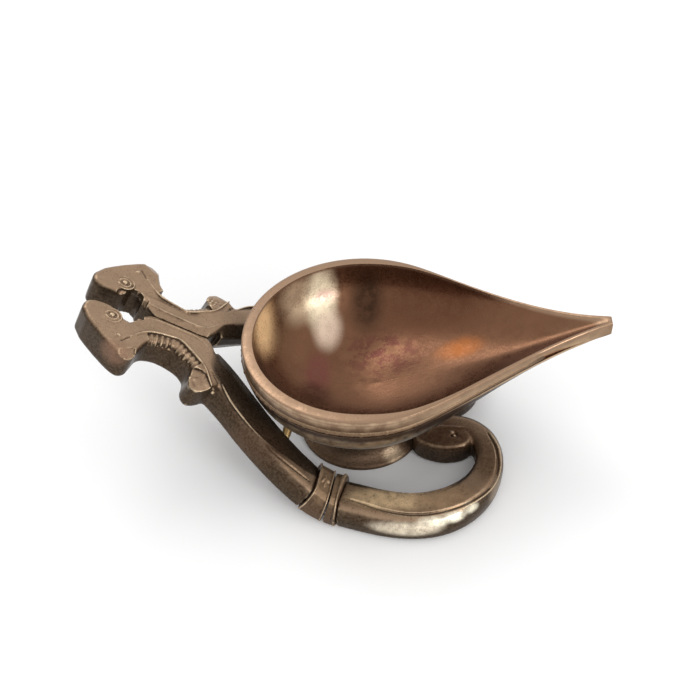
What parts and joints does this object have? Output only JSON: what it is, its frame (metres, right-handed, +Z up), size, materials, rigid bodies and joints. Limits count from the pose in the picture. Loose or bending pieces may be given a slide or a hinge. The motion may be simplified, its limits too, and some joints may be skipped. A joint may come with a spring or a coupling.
{
  "type": "brass oil lamp",
  "caption": "Leaf-shaped brass oil lamp bowl with a pouring lip on a round foot, carried in a lyre-shaped handle that ends in animal heads.",
  "frame": {"origin": "on the plane the lamp stands on, under the middle of its whole length", "axes": "+X towards the pouring lip, +Y towards the left arm, +Z up"},
  "size_m": [0.1636, 0.0958, 0.0587],
  "materials": {
    "polished_brass": "hand-polished, worn and stained inside",
    "satin_brass": "satin, darkened in the hollows",
    "aged_brass": "satin, darkened in the hollows",
    "dark_brass": "as cast, dark with age",
    "yellow_brass": "filed, a little yellower than the rest"
  },
  "bodies": {
    "root": {"bowl": "polished_brass", "beaded_moulding": "dark_brass", "foot_ring": "dark_brass", "right_loop_and_scroll": "satin_brass", "right_neck_and_head": "satin_brass", "right_wide_band": "aged_brass", "right_narrow_band": "aged_brass", "right_bowl_pin": "yellow_brass", "left_loop_and_scroll": "satin_brass", "left_neck_and_head": "satin_brass", "left_wide_band": "aged_brass", "left_narrow_band": "aged_brass", "left_bowl_pin": "yellow_brass"}
  },
  "joints": []
}
